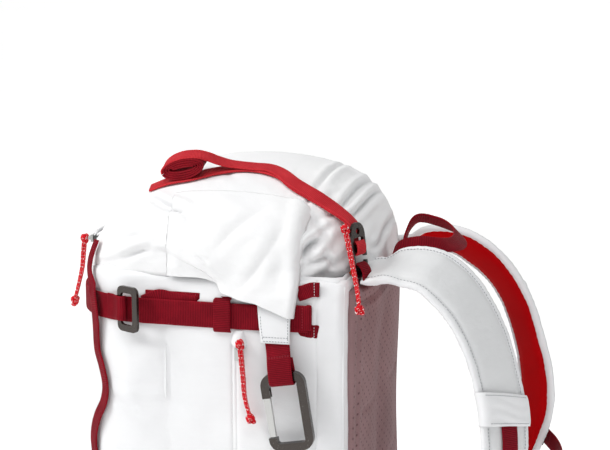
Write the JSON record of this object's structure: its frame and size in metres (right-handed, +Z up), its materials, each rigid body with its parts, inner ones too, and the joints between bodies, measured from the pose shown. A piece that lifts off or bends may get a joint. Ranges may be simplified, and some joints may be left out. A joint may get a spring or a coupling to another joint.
{
  "type": "avalanche airbag backpack",
  "caption": "Upright white ski-touring backpack with a packed airbag under its domed hood, side flap and carabiner, webbing belt with hook, curved shoulder straps and hip belt.",
  "frame": {"origin": "on the underside of the flat base, in the middle of the bag's width and close to the middle of its depth", "axes": "+Z up with the pack standing on its base, +Y towards the wearer's side with the back panel and straps, +X to the wearer's right"},
  "size_m": [0.2929, 0.5001, 0.5589],
  "materials": {
    "white_fabric": "coated nylon ripstop, matt",
    "grey_fabric": "coated nylon, matt",
    "burgundy_webbing": "ribbed nylon webbing",
    "red_webbing": "ribbed nylon webbing",
    "red_cord": "braided accessory cord with light flecks",
    "mauve_foam": "moulded foam under perforated mesh",
    "dark_metal": "dark anodised",
    "bright_metal": "satin",
    "black_plastic": "moulded acetal",
    "grey_plastic": "sheet and moulded plastic",
    "airbag_fabric": "coated nylon, folded",
    "orange_plastic": "moulded"
  },
  "bodies": {
    "bag": {"front_panel": "white_fabric", "side_panel_right": "white_fabric", "side_panel_left": "white_fabric", "rear_panel": "white_fabric", "base_panel": "grey_fabric", "hood": "white_fabric", "airbag_cover": "white_fabric", "packed_airbag": "airbag_fabric", "frame_sheet": "grey_plastic", "back_foam": "mauve_foam", "harness_yoke": "white_fabric", "haul_loop": "burgundy_webbing", "shoulder_strap_right": "white_fabric", "strap_webbing_right": "burgundy_webbing", "ladder_lock_right": "black_plastic", "lower_webbing_right": "burgundy_webbing", "shoulder_strap_left": "white_fabric", "strap_webbing_left": "burgundy_webbing", "ladder_lock_left": "black_plastic", "lower_webbing_left": "burgundy_webbing", "strap_keeper": "white_fabric", "trigger_sleeve": "white_fabric", "leg_strap": "burgundy_webbing", "side_belt": "burgundy_webbing", "belt_tail": "burgundy_webbing", "belt_keeper": "burgundy_webbing", "belt_anchor": "burgundy_webbing", "belt_hook_loop": "burgundy_webbing", "top_strap": "red_webbing", "top_strap_roll": "red_webbing", "top_hook": "dark_metal", "hook_anchor_loop": "burgundy_webbing", "front_strap": "burgundy_webbing", "airbag_zip_cord": "red_cord", "fan_housing": "black_plastic", "power_module": "black_plastic"},
    "flap": {"flap": "white_fabric", "flap_tab": "white_fabric", "flap_webbing": "burgundy_webbing"},
    "carabiner": {"carabiner_body": "dark_metal"},
    "carabiner_gate": {"carabiner_gate": "bright_metal"},
    "belt_hook": {"belt_hook": "dark_metal"},
    "front_zip": {"front_zip_slider": "bright_metal", "front_zip_cord": "red_cord"},
    "side_zip": {"side_zip_slider": "bright_metal", "side_zip_cord": "red_cord"},
    "trigger": {"trigger_handle": "orange_plastic"},
    "sternum_right": {"sternum_slider_right": "black_plastic", "sternum_webbing_right": "burgundy_webbing", "sternum_buckle_right": "black_plastic"},
    "sternum_left": {"sternum_slider_left": "black_plastic", "sternum_webbing_left": "burgundy_webbing", "sternum_buckle_left": "black_plastic"},
    "hip_right": {"hip_wing_right": "white_fabric", "hip_webbing_right": "burgundy_webbing", "hip_buckle_right": "black_plastic"},
    "hip_left": {"hip_wing_left": "white_fabric", "hip_webbing_left": "burgundy_webbing", "hip_buckle_left": "black_plastic"},
    "impeller": {"impeller": "grey_plastic"}
  },
  "joints": [
    {"name": "flap_lift", "type": "hinge", "parent": "bag", "child": "flap", "pos_m": [0.1, 0.02, 0.5237], "axis": [0, -1, 0], "range_deg": [0, 100]},
    {"name": "carabiner_swing", "type": "hinge", "parent": "flap", "child": "carabiner", "pos_m": [0.1465, 0.078, 0.356], "axis": [0, -0.9872, -0.1593], "range_deg": [0, 60]},
    {"name": "carabiner_gate_pivot", "type": "hinge", "parent": "carabiner", "child": "carabiner_gate", "pos_m": [0.1465, 0.06311, 0.3384], "axis": [1, 0, 0], "range_deg": [0, 25], "stiffness_Nm_per_rad": 0.05},
    {"name": "belt_hook_swing", "type": "hinge", "parent": "bag", "child": "belt_hook", "pos_m": [0.1342, -0.084, 0.411], "axis": [0, 0, -1], "range_deg": [0, 70]},
    {"name": "front_zip_slide", "type": "slide", "parent": "bag", "child": "front_zip", "axis": [-1, 0, 0], "range_m": [0, 0.095]},
    {"name": "side_zip_slide", "type": "slide", "parent": "bag", "child": "side_zip", "axis": [0, 0, -1], "range_m": [0, 0.24]},
    {"name": "trigger_pull", "type": "slide", "parent": "bag", "child": "trigger", "axis": [-0.04, 0.349, -0.9363], "range_m": [0, 0.04]},
    {"name": "sternum_slide_right", "type": "slide", "parent": "bag", "child": "sternum_right", "axis": [-0.1475, 0.1506, 0.9775], "range_m": [-0.02, 0.02]},
    {"name": "sternum_slide_left", "type": "slide", "parent": "bag", "child": "sternum_left", "axis": [0.1446, 0.2472, 0.9581], "range_m": [-0.02, 0.02]},
    {"name": "hip_wing_swing_right", "type": "hinge", "parent": "bag", "child": "hip_right", "pos_m": [0.116, 0.158, 0.098], "axis": [0, 0, -1], "range_deg": [0, 40]},
    {"name": "hip_wing_swing_left", "type": "hinge", "parent": "bag", "child": "hip_left", "pos_m": [-0.116, 0.158, 0.098], "axis": [0, 0, 1], "range_deg": [0, 40]},
    {"name": "impeller_spin", "type": "hinge", "parent": "bag", "child": "impeller", "pos_m": [-0.042, 0.076, 0.335], "axis": [0, 0, 1], "continuous": true}
  ]
}
